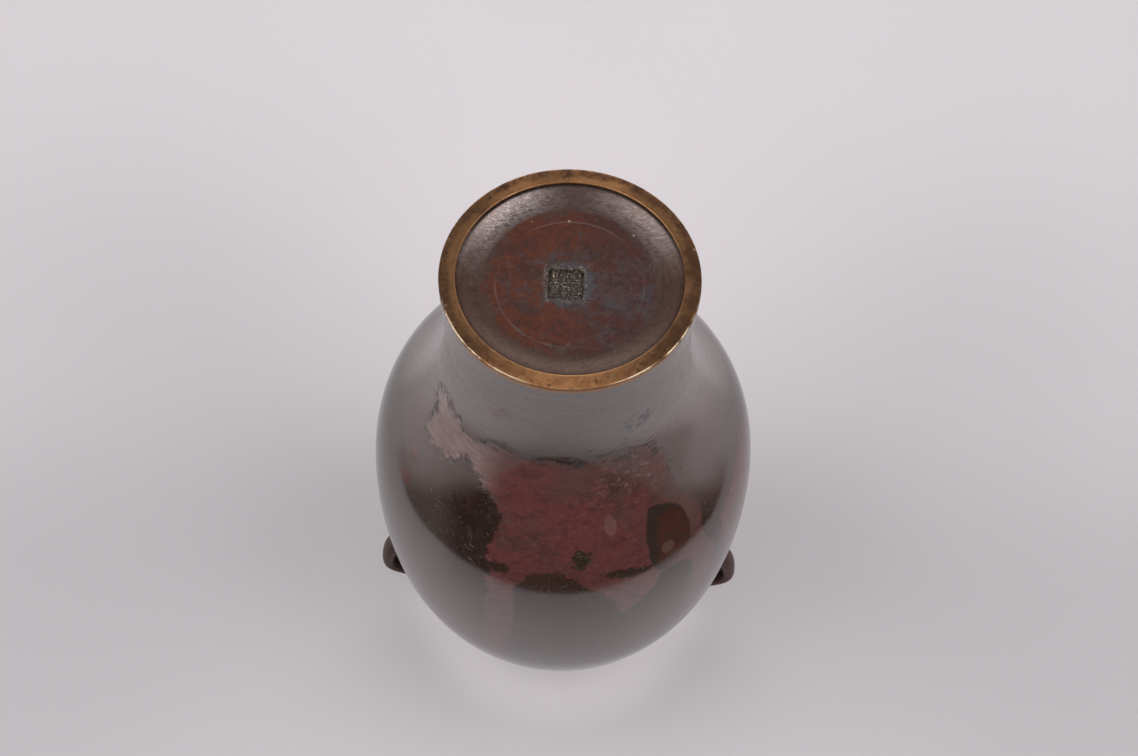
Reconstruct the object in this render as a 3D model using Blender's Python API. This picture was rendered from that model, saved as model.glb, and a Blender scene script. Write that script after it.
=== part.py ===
"""A hollow bronze vase with two ears, standing upside down on its mouth with the foot ring up.

Metres, +Z up. The origin is the centre of the mouth's plane, +Z runs from the mouth to the foot,
and the ears stand on the X axis.
"""

import math

import bmesh
import bpy
from mathutils import Vector
from mathutils.geometry import interpolate_bezier

# Whole vessel
HEIGHT = 0.212
WALL = 0.003
SEGMENTS = 60
BODY_STEPS = 12
SHOULDER_STEPS = 9
FOOT_STEPS = 4
LIP_STEPS = 4
ARC_STEPS = 4
EDGE_STEPS = 2

# Foot, with the ring that the vase normally stands on and the sunk base inside it
FOOT_RADIUS = 0.040
FOOT_RING_WIDTH = 0.0052
FOOT_EDGE_ROUND = 0.0005
RECESS_DEPTH = 0.0042
COVE_WIDTH = 0.0084
BASE_THICKNESS = 0.003
INSIDE_CORNER = 0.004

# Body: the waist hangs from the foot's plane, the belly stands on the mouth's plane
WAIST_BELOW_FOOT = 0.030
FOOT_FLARE = 0.0015
BELLY_HEIGHT = 0.1016
BELLY_RADIUS = 0.0632

# Neck and mouth
NECK_HEIGHT = 0.0105
NECK_RADIUS = 0.027
NECK_ROUND = 0.0065
SHOULDER_SLOPE = math.radians(29.5)
LIP_FLARE = 0.004
LIP_BAND = 0.0024
LIP_THICKNESS = 0.0036
LIP_ROUND = 0.001

# How far each curve runs straight on from its ends, as shares of the height or width it spans,
# and how far it leans out meanwhile, as a share of its flare
FLARE_STIFFNESS = (0.30, 0.45)
FLARE_LEAN = 0.13
WAIST_STIFFNESS = (0.558, 0.648)
SHOULDER_STIFFNESS = (0.6145, 0.57)
LIP_STIFFNESS = (0.45, 0.35)
LIP_LEAN = 0.3
COVE_STIFFNESS = 0.38

# Ears: one loop on each side, from the neck out and back to the shoulder
EAR_REACH = 0.0641
EAR_BEND_HEIGHT = 0.0228
EAR_LOW_ROOT_HEIGHT = 0.0128
EAR_TOP_ROOT_HEIGHT = 0.0390
EAR_WIDTH = 0.009
EAR_THICKNESS = 0.005
EAR_ROOT_SPREAD = 0.30
EAR_ROOT_LENGTH = 0.007
EAR_LOW_STIFFNESS = (0.58, 0.68)
EAR_TOP_STIFFNESS = 0.5
EAR_SQUARENESS = (0.85, 0.95)
EAR_STEPS = 7
EAR_SIDES = 10

# Seal: a sunk square in the base, with rows of strokes that stand up from its bottom
SEAL_SIDE = 0.0108
SEAL_DEPTH = 0.0009
SEAL_OFFSET = -0.0012
STROKE_HEIGHT = 0.0005
STROKE_WIDTH = 0.0009
STROKE_ROWS = 4
STROKES_IN_ROW = 3
STROKE_SHARE = 0.7
OVERLAP = 0.0005

# Sizes that follow from those above
WAIST_RADIUS = FOOT_RADIUS - FOOT_FLARE
WAIST_HEIGHT = HEIGHT - WAIST_BELOW_FOOT
RING_INNER_RADIUS = FOOT_RADIUS - FOOT_RING_WIDTH
BASE_HEIGHT = HEIGHT - RECESS_DEPTH
MOUTH_RADIUS = NECK_RADIUS + LIP_FLARE
MOUTH_INNER_RADIUS = MOUTH_RADIUS - LIP_THICKNESS

BRONZE_COLOUR = (0.07, 0.045, 0.04, 1.0)
BRONZE_ROUGHNESS = 0.3
BRONZE_METALLIC = 0.8
SHARP_EDGE = math.radians(35)


def clear_scene():
    for obj in list(bpy.data.objects):
        bpy.data.objects.remove(obj)


def curve(start, start_handle, end_handle, end, steps):
    """The points of a Bezier curve after its start."""
    return [Vector(p) for p in interpolate_bezier(start, start_handle, end_handle, end, steps + 1)[1:]]


def arc(centre, radius, first, last, steps):
    """The points of an arc, its ends included, with angles from the +radius direction."""
    points = []
    for i in range(steps + 1):
        angle = first + (last - first) * i / steps
        points.append(Vector((centre[0] + radius * math.cos(angle), centre[1] + radius * math.sin(angle))))
    return points


def body_curve():
    """The body's outside, from the waist over the belly and shoulder to the neck, as (radius, height)."""
    waist = Vector((WAIST_RADIUS, WAIST_HEIGHT))
    belly = Vector((BELLY_RADIUS, BELLY_HEIGHT))
    neck_arc = arc(
        (NECK_RADIUS + NECK_ROUND, NECK_HEIGHT), NECK_ROUND, math.pi / 2 + SHOULDER_SLOPE, math.pi, ARC_STEPS
    )
    shoulder = neck_arc[0]
    rise = WAIST_HEIGHT - BELLY_HEIGHT
    fall = BELLY_HEIGHT - shoulder.y
    slope = Vector((math.cos(SHOULDER_SLOPE), math.sin(SHOULDER_SLOPE)))
    points = [waist]
    points += curve(
        waist,
        waist - Vector((0, WAIST_STIFFNESS[0] * rise)),
        belly + Vector((0, WAIST_STIFFNESS[1] * rise)),
        belly,
        BODY_STEPS,
    )
    points += curve(
        belly,
        belly - Vector((0, SHOULDER_STIFFNESS[0] * fall)),
        shoulder + slope * SHOULDER_STIFFNESS[1] * (BELLY_RADIUS - shoulder.x),
        shoulder,
        SHOULDER_STEPS,
    )
    return points + neck_arc[1:]


def inward(points, distance):
    """The curve that runs inside another one at a distance, square to it at each point."""
    moved = []
    for i, point in enumerate(points):
        along = points[min(i + 1, len(points) - 1)] - points[max(i - 1, 0)]
        along.normalize()
        moved.append(point + Vector((along.y, -along.x)) * distance)
    return moved


def foot_curve():
    """The sunk base, its cove, the flat ring and the flare down to the waist."""
    edge = FOOT_EDGE_ROUND
    cove_start = Vector((RING_INNER_RADIUS - COVE_WIDTH, BASE_HEIGHT))
    cove_end = Vector((RING_INNER_RADIUS, HEIGHT - edge))
    points = [Vector((0, BASE_HEIGHT)), cove_start]
    points += curve(
        cove_start,
        cove_start + Vector((COVE_WIDTH * COVE_STIFFNESS, 0)),
        cove_end - Vector((0, (RECESS_DEPTH - edge) * COVE_STIFFNESS)),
        cove_end,
        FOOT_STEPS,
    )
    points += arc((RING_INNER_RADIUS + edge, HEIGHT - edge), edge, math.pi, math.pi / 2, EDGE_STEPS)[1:]
    points += arc((FOOT_RADIUS - edge, HEIGHT - edge), edge, math.pi / 2, 0, EDGE_STEPS)
    drop = WAIST_BELOW_FOOT - edge
    points += curve(
        points[-1],
        points[-1] - Vector((FOOT_FLARE * FLARE_LEAN, FLARE_STIFFNESS[0] * drop)),
        Vector((WAIST_RADIUS, WAIST_HEIGHT + FLARE_STIFFNESS[1] * drop)),
        Vector((WAIST_RADIUS, WAIST_HEIGHT)),
        FOOT_STEPS,
    )
    return points


def lip_curve():
    """The mouth, from the outside of the neck round the flat lip to the inside of the neck."""
    neck = Vector((NECK_RADIUS, NECK_HEIGHT))
    rim = Vector((MOUTH_RADIUS, LIP_BAND))
    inner_rim = Vector((MOUTH_INNER_RADIUS, LIP_BAND))
    inner_neck = Vector((NECK_RADIUS - WALL, NECK_HEIGHT))
    drop = NECK_HEIGHT - LIP_BAND
    points = curve(
        neck,
        neck - Vector((0, LIP_STIFFNESS[0] * drop)),
        rim + Vector((-LIP_FLARE * LIP_LEAN, LIP_STIFFNESS[1] * drop)),
        rim,
        LIP_STEPS,
    )
    points += arc((MOUTH_RADIUS - LIP_ROUND, LIP_ROUND), LIP_ROUND, 0, -math.pi / 2, EDGE_STEPS)
    points += arc((MOUTH_INNER_RADIUS + LIP_ROUND, LIP_ROUND), LIP_ROUND, -math.pi / 2, -math.pi, EDGE_STEPS)
    points += curve(
        inner_rim,
        inner_rim + Vector((-LIP_FLARE * LIP_LEAN, LIP_STIFFNESS[1] * drop)),
        inner_neck - Vector((0, LIP_STIFFNESS[0] * drop)),
        inner_neck,
        LIP_STEPS,
    )
    return points


def hollow_curve(outside):
    """The inside of the body and the floor of the hollow, from the neck up."""
    floor = BASE_HEIGHT - BASE_THICKNESS
    radius = WAIST_RADIUS - WALL
    points = inward(outside, WALL)[::-1][1::2]
    points += arc((radius - INSIDE_CORNER, floor - INSIDE_CORNER), INSIDE_CORNER, 0, math.pi / 2, ARC_STEPS)
    return points + [Vector((0, floor))]


def turned(name, profile):
    """A closed shape turned from a (radius, height) outline whose two ends are on the axis."""
    shape = bmesh.new()
    points = [shape.verts.new((p.x, 0, p.y)) for p in profile]
    edges = [shape.edges.new(pair) for pair in zip(points, points[1:])]
    bmesh.ops.spin(
        shape,
        geom=points + edges,
        cent=(0, 0, 0),
        axis=(0, 0, 1),
        angle=2 * math.pi,
        steps=SEGMENTS,
        use_merge=True,
    )
    bmesh.ops.remove_doubles(shape, verts=shape.verts, dist=1e-6)
    return finished(name, shape)


def finished(name, shape):
    """An object made from a bmesh, with its faces pointing out."""
    bmesh.ops.recalc_face_normals(shape, faces=shape.faces)
    mesh = bpy.data.meshes.new(name)
    shape.to_mesh(mesh)
    shape.free()
    obj = bpy.data.objects.new(name, mesh)
    bpy.context.scene.collection.objects.link(obj)
    return obj


def wall_at(outside, height):
    """The point in the middle of the wall at a height, and the direction out of the wall there."""
    for upper, lower in zip(outside, outside[1:]):
        if lower.y <= height <= upper.y:
            share = (height - lower.y) / (upper.y - lower.y)
            along = (lower - upper).normalized()
            out = Vector((-along.y, along.x))
            return lower.lerp(upper, share) - out * WALL / 2, out
    raise ValueError(f"the body has no wall at a height of {height}")


def ear_path(outside):
    """The middle line of an ear, as (radius, height), from the neck out and back to the shoulder."""
    low, _ = wall_at(outside, EAR_LOW_ROOT_HEIGHT)
    top, top_out = wall_at(outside, EAR_TOP_ROOT_HEIGHT)
    bend = Vector((EAR_REACH - EAR_THICKNESS / 2, EAR_BEND_HEIGHT))
    run = bend.x - low.x
    lower_rise = bend.y - low.y
    upper_rise = top.y - bend.y
    points = [low]
    points += curve(
        low,
        low + Vector((EAR_LOW_STIFFNESS[0] * run, 0)),
        bend - Vector((0, EAR_LOW_STIFFNESS[1] * lower_rise)),
        bend,
        EAR_STEPS,
    )
    points += curve(
        bend,
        bend + Vector((0, EAR_TOP_STIFFNESS * upper_rise)),
        top + top_out * EAR_TOP_STIFFNESS * upper_rise,
        top,
        EAR_STEPS,
    )
    return points


def rounded(value, squareness):
    """A sine or cosine pushed out towards 1, which squares the section that it draws."""
    return math.copysign(abs(value) ** squareness, value)


def ear(name, side, outside):
    """One ear: a strap with a rounded section that spreads at both roots."""
    path = ear_path(outside)
    travelled = [0.0]
    for before, after in zip(path, path[1:]):
        travelled.append(travelled[-1] + (after - before).length)
    shape = bmesh.new()
    rings = []
    for i, point in enumerate(path):
        along = (path[min(i + 1, len(path) - 1)] - path[max(i - 1, 0)]).normalized()
        from_root = min(travelled[i], travelled[-1] - travelled[i])
        spread = 1 + EAR_ROOT_SPREAD * max(0, 1 - from_root / EAR_ROOT_LENGTH) ** 2
        ring = []
        for k in range(EAR_SIDES):
            angle = 2 * math.pi * (k + 0.5) / EAR_SIDES
            across = rounded(math.cos(angle), EAR_SQUARENESS[0]) * EAR_WIDTH / 2 * spread
            lift = rounded(math.sin(angle), EAR_SQUARENESS[1]) * EAR_THICKNESS / 2 * spread
            radius = point.x + along.y * lift
            ring.append(shape.verts.new((side * radius, across, point.y - along.x * lift)))
        rings.append(ring)
    for ring, following in zip(rings, rings[1:]):
        for k in range(EAR_SIDES):
            after = (k + 1) % EAR_SIDES
            shape.faces.new((ring[k], ring[after], following[after], following[k]))
    shape.faces.new(rings[0])
    shape.faces.new(rings[-1][::-1])
    return finished(name, shape)


def add_box(shape, centre, size):
    """Adds a box to a bmesh."""
    corners = bmesh.ops.create_cube(shape, size=1)["verts"]
    bmesh.ops.scale(shape, vec=size, verts=corners)
    bmesh.ops.translate(shape, vec=centre, verts=corners)


def seal_pocket():
    """The square that is sunk into the base."""
    shape = bmesh.new()
    depth = SEAL_DEPTH + OVERLAP
    add_box(shape, (SEAL_OFFSET, 0, BASE_HEIGHT + OVERLAP - depth / 2), (SEAL_SIDE, SEAL_SIDE, depth))
    return finished("seal_pocket", shape)


def seal_strokes():
    """Rows of plain strokes that stand up from the seal's bottom: alternate rows lie and stand."""
    shape = bmesh.new()
    pitch = SEAL_SIDE / STROKE_ROWS
    step = SEAL_SIDE / STROKES_IN_ROW
    height = STROKE_HEIGHT + OVERLAP
    middle = BASE_HEIGHT - SEAL_DEPTH - OVERLAP + height / 2
    for row in range(STROKE_ROWS):
        y = (row + 0.5) * pitch - SEAL_SIDE / 2
        for column in range(STROKES_IN_ROW):
            x = SEAL_OFFSET + (column + 0.5) * step - SEAL_SIDE / 2
            lying = (row + column) % 2 == 0
            size = (STROKE_SHARE * step, STROKE_WIDTH) if lying else (STROKE_WIDTH, STROKE_SHARE * pitch)
            add_box(shape, (x, y, middle), (*size, height))
    return finished("seal_strokes", shape)


def bronze():
    """The dark patinated bronze of the whole casting."""
    material = bpy.data.materials.new("patinated_bronze")
    material.use_nodes = True
    shader = material.node_tree.nodes["Principled BSDF"]
    shader.inputs["Base Color"].default_value = BRONZE_COLOUR
    shader.inputs["Roughness"].default_value = BRONZE_ROUGHNESS
    shader.inputs["Metallic"].default_value = BRONZE_METALLIC
    return material


def combine(vase, tool, operation):
    """Cuts a tool from the vase, or casts it on, and keeps the tool as a guide."""
    modifier = vase.modifiers.new(tool.name, "BOOLEAN")
    modifier.operation = operation
    modifier.object = tool
    tool.hide_render = True
    tool.display_type = "WIRE"


def main():
    clear_scene()
    outside = body_curve()
    profile = foot_curve() + outside[1:] + lip_curve() + hollow_curve(outside)
    vase = turned("vase", profile)
    vase.data.shade_smooth()
    vase.data.set_sharp_from_angle(angle=SHARP_EDGE)
    vase.data.materials.append(bronze())
    combine(vase, ear("ear_left", -1, outside), "UNION")
    combine(vase, ear("ear_right", 1, outside), "UNION")
    combine(vase, seal_pocket(), "DIFFERENCE")
    combine(vase, seal_strokes(), "UNION")


main()
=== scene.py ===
"""Looks of the bronze vase: its fine casting, ears, seal and patina, on a pale studio floor.

Metres, +Z up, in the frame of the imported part: the vase stands upside down on its mouth.
"""

import math

import bmesh
import bpy
import numpy as np
from bpy.props import FloatProperty, FloatVectorProperty, IntProperty, PointerProperty
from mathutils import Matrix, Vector
from mathutils.geometry import interpolate_bezier


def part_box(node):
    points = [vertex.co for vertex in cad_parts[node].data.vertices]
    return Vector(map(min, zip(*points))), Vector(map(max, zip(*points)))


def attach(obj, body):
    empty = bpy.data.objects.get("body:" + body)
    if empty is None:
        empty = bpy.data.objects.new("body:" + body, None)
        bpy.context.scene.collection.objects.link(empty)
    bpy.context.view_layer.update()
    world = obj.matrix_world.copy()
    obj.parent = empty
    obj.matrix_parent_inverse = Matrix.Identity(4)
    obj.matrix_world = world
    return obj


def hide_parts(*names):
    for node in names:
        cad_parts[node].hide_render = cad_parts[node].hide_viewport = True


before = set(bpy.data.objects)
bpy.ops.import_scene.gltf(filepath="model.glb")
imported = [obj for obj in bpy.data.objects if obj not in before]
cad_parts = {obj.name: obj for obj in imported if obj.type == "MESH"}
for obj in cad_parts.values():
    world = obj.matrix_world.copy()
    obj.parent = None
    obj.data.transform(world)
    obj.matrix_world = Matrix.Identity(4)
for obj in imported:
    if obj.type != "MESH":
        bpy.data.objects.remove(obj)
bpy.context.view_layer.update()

bl_info = {
    "name": "Bronze Vase",
    "version": (1, 0, 0),
    "blender": (4, 5, 0),
    "location": "View3D > Sidebar > Vase",
    "description": "Casts the bronze vase with its ears and seal, patinates it and sets its studio",
    "category": "Object",
}

LOW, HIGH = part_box("vase")
HEIGHT = HIGH.z - LOW.z
BELLY_RADIUS = HIGH.y
EAR_REACH = HIGH.x

# Turned profile, as in the part's source
WALL = 0.003
FOOT_EDGE_ROUND = 0.0005
RECESS_DEPTH = 0.0042
COVE_WIDTH = 0.0084
BASE_THICKNESS = 0.003
INSIDE_CORNER = 0.004
WAIST_BELOW_FOOT = 0.030
FOOT_FLARE = 0.0015
BELLY_HEIGHT = 0.1016
NECK_HEIGHT = 0.0105
NECK_RADIUS = 0.027
NECK_ROUND = 0.0065
SHOULDER_SLOPE = math.radians(29.5)
LIP_FLARE = 0.004
LIP_BAND = 0.0024
LIP_THICKNESS = 0.0036
LIP_ROUND = 0.001
FLARE_STIFFNESS = (0.30, 0.45)
FLARE_LEAN = 0.13
WAIST_STIFFNESS = (0.558, 0.648)
SHOULDER_STIFFNESS = (0.6145, 0.57)
LIP_STIFFNESS = (0.45, 0.35)
LIP_LEAN = 0.3
COVE_STIFFNESS = 0.38

# Ears; each root's fillet is looked for within the search distance of the wall
EAR_BEND_HEIGHT = 0.0228
EAR_LOW_ROOT_HEIGHT = 0.0128
EAR_TOP_ROOT_HEIGHT = 0.0390
EAR_LOW_STIFFNESS = (0.58, 0.68)
EAR_TOP_STIFFNESS = 0.5
EAR_SQUARENESS = (0.85, 0.95)
EAR_STEPS = 26
EAR_SIDES = 32
EAR_FILLET = 0.0022
EAR_FILLET_STEPS = 6
EARS_END = 0.06

FILLET_SEARCH = 0.012
FILLET_CLEAR = 0.45 * EAR_FILLET

# Seal
SEAL_CORNER = 0.0012
SEAL_CELLS = 84
SEAL_RELIEF = 0.00036
SEAL_RIM = 0.0009
STROKE_EDGE = 0.00034
STROKE_ROWS = 4
STROKES_IN_ROW = 3

# Steps in which the profile is drawn
BASE_STEPS = 12
COVE_STEPS = 18
RING_STEPS = 6
FLARE_STEPS = 26
BODY_STEPS = (88, 72)
NECK_STEPS = 12
CORNER_STEPS = 5
LIP_STEPS = (14, 8)

# Where along the profile each finish after the base's starts
STARTS = ("Ring Start", "Body Start", "Hollow Start")

# Creases of the casting sharper than this are shown sharp
SHARP_ANGLE = math.radians(48)

# Radius at which the patches are laid out, and how far inside them is still told apart
PATCH_RADIUS = 0.052
PATCH_DEPTH = 0.03

# Studio: the camera found from the photo, the flags and the lights
CAMERA_PLACE = (0.0, -0.44068, 0.67209)
CAMERA_TURN = (31.033, -1.2425, 1.9391)
CAMERA_LENS = 83.83
LIGHT_TARGET = (0, 0.05, 0.10)
FLOOR_REACH = 4.0
FLAG_STEPS = 24
FLAG_REACH = 1.5
FLAG_HEIGHT = 0.8
FLAG_SPREAD = math.radians(80)
FLAG_LIFT = 0.0006
FLAG_EDGE = (
    (-0.60, 0.10), (-0.32, 0.02), (-0.22, -0.05), (-0.18, -0.12), (-0.12, -0.175), (0.0, -0.19),
    (0.12, -0.175), (0.18, -0.12), (0.22, -0.05), (0.32, 0.02), (0.60, 0.10),
    (2.2, -0.6), (2.2, -3.0), (-2.2, -3.0), (-2.2, -0.6),
)

# Patches of the patina: corners as (degrees round from the photographed side, height in mm)
CRANBERRY_FIELD = (
    (-76, 161), (-68, 165), (-61, 164), (-55, 163), (-50, 161), (-43, 162), (-35, 166), (-27, 167),
    (-20, 167), (-13, 167), (-3, 167), (6, 166), (17, 167), (27, 167), (37, 166), (43, 164), (45, 160),
    (48, 156), (49, 152), (48, 148), (48, 145), (50, 141), (52, 137), (51, 132), (50, 125), (54, 111),
    (53, 102), (50, 96), (51, 82), (46, 80), (44, 92), (44, 106), (43, 116), (38, 121), (33, 120),
    (31, 117), (29, 113), (24, 107), (20, 103), (17, 113), (13, 121), (10, 122), (7, 125), (3, 128),
    (-2, 130), (-7, 129), (-11, 126), (-13, 121), (-13, 113), (-13, 99), (-15, 82), (-16, 58), (-18, 46),
    (-22, 48), (-23, 60), (-22, 84), (-22, 107), (-21, 117), (-23, 121), (-20, 125), (-22, 128), (-23, 131),
    (-23, 135), (-22, 140), (-21, 145), (-25, 147), (-29, 149), (-35, 151), (-40, 153), (-46, 153),
    (-52, 149), (-61, 147), (-67, 149), (-69, 153),
)
CRANBERRY_SPOTS = (
    ((-66, 142), (-62, 143), (-60, 140), (-64, 138)),
    ((-65, 136), (-59, 137), (-58, 133), (-63, 131)),
)
CRANBERRY_EDGE = (
    (85, 136), (92, 128), (94, 110), (86, 92), (76, 84), (66, 92), (58, 108), (58, 123), (64, 127),
    (71, 131),
)
CRANBERRY_BACK = (
    (128, 158), (150, 163), (176, 160), (205, 164), (226, 158), (231, 141), (219, 130), (222, 112),
    (206, 104), (199, 88), (191, 66), (183, 84), (168, 98), (151, 104), (139, 122), (124, 137),
)
ISLAND = (
    (31, 143), (33, 145), (37, 145), (42, 143), (46, 139), (46, 133), (45, 128), (42, 125), (38, 123),
    (33, 120), (30, 124), (29, 130), (29, 137),
)
FIELD_HOLES = (
    ((-23, 128), (-20, 130), (-16, 130), (-14, 129), (-17, 126), (-21, 126)),
    ((13, 129), (19, 129), (25, 127), (30, 125), (27, 123), (22, 124), (16, 126)),
)
OLIVE_SPECK = ((3, 136), (7, 139), (11, 138), (10, 134), (7, 131), (3, 132))
SMUDGES = (
    ((-39, 184), (-33, 190), (-24, 190), (-22, 185), (-30, 179), (-37, 179)),
    ((27, 182), (31, 188), (38, 187), (47, 182), (45, 177), (36, 175), (29, 177)),
)
PALE_OVALS = (((18, 144), (2.2, 3.4)), ((36, 130), (2.4, 2.6)))
# Lower edge of the dull film of handling that covers the shoulder and stem, all the way round
FILM_EDGE = (
    (-180, 152), (-150, 148), (-120, 139), (-95, 131), (-81, 128), (-66, 129), (-60, 132), (-53, 136),
    (-46, 141), (-40, 145), (-33, 149), (-27, 155), (-19, 162), (-10, 168), (-4, 169), (3, 169), (10, 167),
    (17, 163), (26, 157), (34, 151), (39, 146), (43, 143), (48, 141), (54, 138), (62, 133), (68, 130),
    (81, 129), (95, 132), (120, 141), (150, 149), (180, 152),
)


def length(name, description, default, least):
    return FloatProperty(
        name=name, description=description, default=default, min=least, subtype="DISTANCE", unit="LENGTH"
    )


def strength(name, description, default):
    return FloatProperty(name=name, description=description, default=default, min=0.0)


def power(name, description, default):
    return FloatProperty(
        name=name, description=description, default=default, min=0.0, subtype="POWER", unit="POWER"
    )


def colour(name, description, default):
    return FloatVectorProperty(
        name=name, description=description, default=default, size=3, min=0.0, max=1.0, subtype="COLOR"
    )


class VesselSizes(bpy.types.PropertyGroup):
    """Sizes of the casting."""

    foot_radius: length("Foot Radius", "Outer radius of the foot ring", 0.040, 0.01)
    ring_width: length("Ring Width", "Width of the foot ring's flat face", 0.0052, 0.001)
    segments: IntProperty(name="Segments", description="Faces round the turned form", default=216, min=24)
    waviness: length(
        "Waviness", "How far the cast and scraped surface wanders under its true form", 0.00003, 0.0
    )
    ear_width: length("Ear Width", "Width of the ears' strap", 0.009, 0.002)
    ear_thickness: length("Ear Thickness", "Thickness of the ears' strap", 0.005, 0.001)
    seal_side: length("Seal Side", "Side of the sunk seal in the base", 0.0108, 0.004)
    seal_depth: length("Seal Depth", "Depth of the seal's ground under the base", 0.0009, 0.0002)
    seal_offset: length("Seal Offset", "How far the seal lies off the base's centre, along X", -0.0012, -0.01)


class PatinaColours(bpy.types.PropertyGroup):
    """Colours of the patina and of the bare metal."""

    ground: colour("Ground", "Near-black brown ground of the body", (0.025, 0.013, 0.010))
    ground_warm: colour("Warm Ground", "Browner parts of the ground", (0.042, 0.020, 0.013))
    cranberry: colour("Cranberry", "Deep red of the large field", (0.108, 0.032, 0.030))
    cranberry_brown: colour("Brown Cranberry", "Browner areas of the red field", (0.080, 0.036, 0.030))
    cranberry_dark: colour("Dark Cranberry", "Small dark mottles in the red field", (0.038, 0.019, 0.017))
    cranberry_pale: colour(
        "Pale Cranberry", "Pinker red where the field is thin or stroked", (0.300, 0.170, 0.155)
    )
    film: colour("Film", "Grey film of handling on the stem", (0.114, 0.102, 0.096))
    film_warm: colour("Warm Film", "Warmer areas of the film", (0.130, 0.104, 0.098))
    # Partly a painted highlight: this colour also stands for the bright streaks beside the stem.
    film_pale_and_highlight: colour("Pale Film", "Thicker, pinker film on the shoulder's two sides", (0.184, 0.148, 0.140))
    brass: colour("Brass", "Rubbed metal on the inner half of the foot ring", (0.400, 0.205, 0.092))
    brass_brown: colour("Brown Brass", "Mottled metal on the outer half of the ring", (0.130, 0.062, 0.034))
    base: colour("Base", "Dark grey-brown of the sunk base's cove", (0.066, 0.042, 0.032))
    base_purple: colour("Purple Base", "Purple-grey middle of the sunk base", (0.064, 0.040, 0.038))
    base_red: colour("Red Base", "Red-brown mottles of the sunk base", (0.098, 0.024, 0.009))
    base_maroon: colour("Maroon Base", "Darker red mottles on its right", (0.068, 0.021, 0.019))
    base_blue: colour("Blue Base", "Blue-grey areas of the sunk base", (0.060, 0.058, 0.068))


class StudioSettings(bpy.types.PropertyGroup):
    """Floor and light."""

    floor: colour("Floor", "Pale studio floor", (0.950, 0.908, 0.937))
    sky: strength("Sky", "Strength of the even light from the horizon", 0.55)
    zenith: strength("Zenith", "Strength of the even light from above", 0.10)
    key: power("Softboxes", "Power of each of the two high soft lights", 3.8)
    fill: power("Fill Lights", "Power of each of the two soft lights beside the camera", 4.0)
    back: power("Back Light", "Power of the low soft light behind the vase", 3.0)


def bezier(start, start_handle, end_handle, end, steps):
    """The points of a curve after its start."""
    return [Vector(p) for p in interpolate_bezier(start, start_handle, end_handle, end, steps + 1)[1:]]


def arc(centre, radius, first, last, steps):
    """The points of an arc, its ends included."""
    angles = [first + (last - first) * i / steps for i in range(steps + 1)]
    return [Vector((centre[0] + radius * math.cos(a), centre[1] + radius * math.sin(a))) for a in angles]


def line(start, end, steps):
    """The points of a straight run after its start."""
    return [Vector(start).lerp(Vector(end), (i + 1) / steps) for i in range(steps)]


def foot_curve(sizes):
    """The sunk base, its cove, the flat ring and the flare, and where ring and flare start."""
    edge = FOOT_EDGE_ROUND
    outer = sizes.foot_radius
    inner = outer - sizes.ring_width
    base = HEIGHT - RECESS_DEPTH
    waist = Vector((outer - FOOT_FLARE, HEIGHT - WAIST_BELOW_FOOT))
    cove_start = Vector((inner - COVE_WIDTH, base))
    cove_end = Vector((inner, HEIGHT - edge))
    points = [Vector((0, base))] + line((0, base), cove_start, BASE_STEPS)
    points += bezier(
        cove_start,
        cove_start + Vector((COVE_WIDTH * COVE_STIFFNESS, 0)),
        cove_end - Vector((0, (RECESS_DEPTH - edge) * COVE_STIFFNESS)),
        cove_end,
        COVE_STEPS,
    )
    ring_starts = len(points) - 1
    points += arc((inner + edge, HEIGHT - edge), edge, math.pi, math.pi / 2, 4)[1:]
    points += line(points[-1], (outer - edge, HEIGHT), RING_STEPS)
    points += arc((outer - edge, HEIGHT - edge), edge, math.pi / 2, 0, 5)[1:]
    flare_starts = len(points) - 1
    drop = WAIST_BELOW_FOOT - edge
    points += bezier(
        points[-1],
        points[-1] - Vector((FOOT_FLARE * FLARE_LEAN, FLARE_STIFFNESS[0] * drop)),
        waist + Vector((0, FLARE_STIFFNESS[1] * drop)),
        waist,
        FLARE_STEPS,
    )
    return points, ring_starts, flare_starts


def body_curve(sizes):
    """The outside from the waist over the belly and shoulder to the neck."""
    waist = Vector((sizes.foot_radius - FOOT_FLARE, HEIGHT - WAIST_BELOW_FOOT))
    belly = Vector((BELLY_RADIUS, BELLY_HEIGHT))
    centre = (NECK_RADIUS + NECK_ROUND, NECK_HEIGHT)
    neck = arc(centre, NECK_ROUND, math.pi / 2 + SHOULDER_SLOPE, math.pi, NECK_STEPS)
    rise = waist.y - belly.y
    fall = belly.y - neck[0].y
    slope = Vector((math.cos(SHOULDER_SLOPE), math.sin(SHOULDER_SLOPE)))
    points = [waist]
    points += bezier(
        waist,
        waist - Vector((0, WAIST_STIFFNESS[0] * rise)),
        belly + Vector((0, WAIST_STIFFNESS[1] * rise)),
        belly,
        BODY_STEPS[0],
    )
    points += bezier(
        belly,
        belly - Vector((0, SHOULDER_STIFFNESS[0] * fall)),
        neck[0] + slope * SHOULDER_STIFFNESS[1] * (belly.x - neck[0].x),
        neck[0],
        BODY_STEPS[1],
    )
    return points + neck[1:]


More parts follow.
